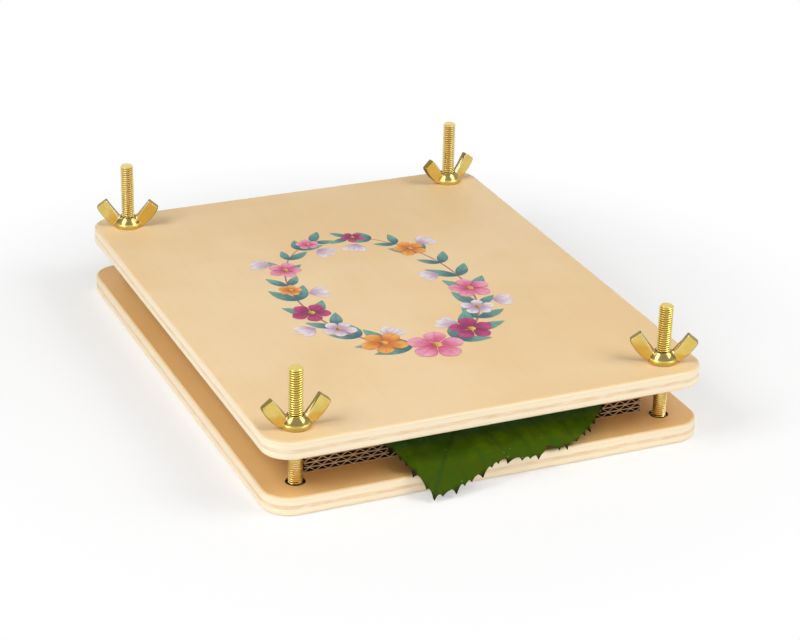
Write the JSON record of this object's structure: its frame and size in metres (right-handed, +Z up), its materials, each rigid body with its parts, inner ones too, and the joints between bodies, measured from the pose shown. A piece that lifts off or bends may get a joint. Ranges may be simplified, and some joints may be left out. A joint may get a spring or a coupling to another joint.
{
  "type": "flower press",
  "caption": "Plywood flower press: two round-cornered boards clamped by bolts and wing nuts on a stack of corrugated card and blotting paper, a leaf drooping out at the front.",
  "frame": {"origin": "middle of the bottom board's underside, the face that it rests on", "axes": "+Z up along the bolts, +Y from front to back along the boards' long side, +X to the right seen from the front"},
  "size_m": [0.192, 0.2495, 0.0621],
  "materials": {
    "plywood": "smooth, sealed",
    "brass": "bright yellow plating",
    "corrugated_card": "raw brown kraft",
    "blotting_paper": "matt, absorbent",
    "leaf": "waxy leaf blade"
  },
  "bodies": {
    "base": {"bottom_board": "plywood", "bolt_front_left": "brass", "bolt_front_right": "brass", "bolt_back_left": "brass", "bolt_back_right": "brass"},
    "top_board": {"top_board": "plywood"},
    "front_left_nut": {"wing_nut_front_left": "brass"},
    "front_right_nut": {"wing_nut_front_right": "brass"},
    "back_left_nut": {"wing_nut_back_left": "brass"},
    "back_right_nut": {"wing_nut_back_right": "brass"},
    "stack": {"corrugated_sheet_1": "corrugated_card", "corrugated_sheet_2": "corrugated_card", "corrugated_sheet_3": "corrugated_card", "corrugated_sheet_4": "corrugated_card", "corrugated_sheet_5": "corrugated_card", "corrugated_sheet_6": "corrugated_card", "blotting_paper_1": "blotting_paper", "blotting_paper_2": "blotting_paper", "blotting_paper_3": "blotting_paper", "blotting_paper_4": "blotting_paper", "blotting_paper_5": "blotting_paper", "blotting_paper_6": "blotting_paper", "blotting_paper_7": "blotting_paper", "blotting_paper_8": "blotting_paper", "leaf_specimen": "leaf"}
  },
  "joints": [
    {"name": "board_lift", "type": "slide", "parent": "base", "child": "top_board", "axis": [0, 0, 1], "range_m": [0, 0.019]},
    {"name": "front_left_nut_spin", "type": "hinge", "parent": "top_board", "child": "front_left_nut", "pos_m": [-0.0808, -0.1068, 0.0324], "axis": [0, 0, 1], "range_deg": [0, 6840]},
    {"name": "front_right_nut_spin", "type": "hinge", "parent": "top_board", "child": "front_right_nut", "pos_m": [0.0808, -0.1068, 0.0324], "axis": [0, 0, 1], "range_deg": [0, 6840]},
    {"name": "back_left_nut_spin", "type": "hinge", "parent": "top_board", "child": "back_left_nut", "pos_m": [-0.0808, 0.1068, 0.0324], "axis": [0, 0, 1], "range_deg": [0, 6840]},
    {"name": "back_right_nut_spin", "type": "hinge", "parent": "top_board", "child": "back_right_nut", "pos_m": [0.0808, 0.1068, 0.0324], "axis": [0, 0, 1], "range_deg": [0, 6840]},
    {"name": "stack_slide", "type": "slide", "parent": "base", "child": "stack", "axis": [0, -1, 0], "range_m": [0, 0.1]}
  ],
  "couplings": [
    {"joint": "front_left_nut_spin", "follows": "board_lift", "rad_per_m": 6283.2},
    {"joint": "front_right_nut_spin", "follows": "board_lift", "rad_per_m": 6283.2},
    {"joint": "back_left_nut_spin", "follows": "board_lift", "rad_per_m": 6283.2},
    {"joint": "back_right_nut_spin", "follows": "board_lift", "rad_per_m": 6283.2}
  ]
}
